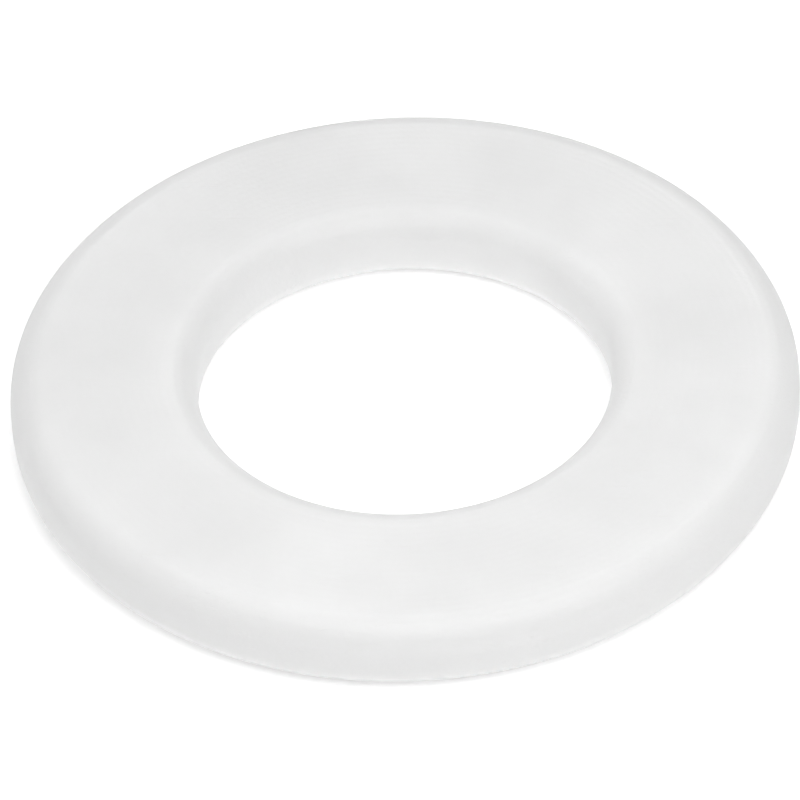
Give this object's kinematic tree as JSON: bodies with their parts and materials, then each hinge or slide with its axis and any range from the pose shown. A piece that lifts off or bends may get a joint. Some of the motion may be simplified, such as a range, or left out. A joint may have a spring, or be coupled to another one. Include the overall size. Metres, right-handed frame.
{
  "type": "flat washer",
  "caption": "Plain plastic flat washer: a round ring with softly rounded edges that spreads the load of a bolt head or nut.",
  "frame": {"origin": "centre of the underside, on the axis of the hole", "axes": "+Z along the axis of the hole, from the underside to the top face; X and Y lie in the plane of the underside and are interchangeable, because the ring is round"},
  "size_m": [0.016, 0.016, 0.0016],
  "materials": {
    "nylon": "satin"
  },
  "bodies": {
    "root": {"washer": "nylon"}
  },
  "joints": []
}
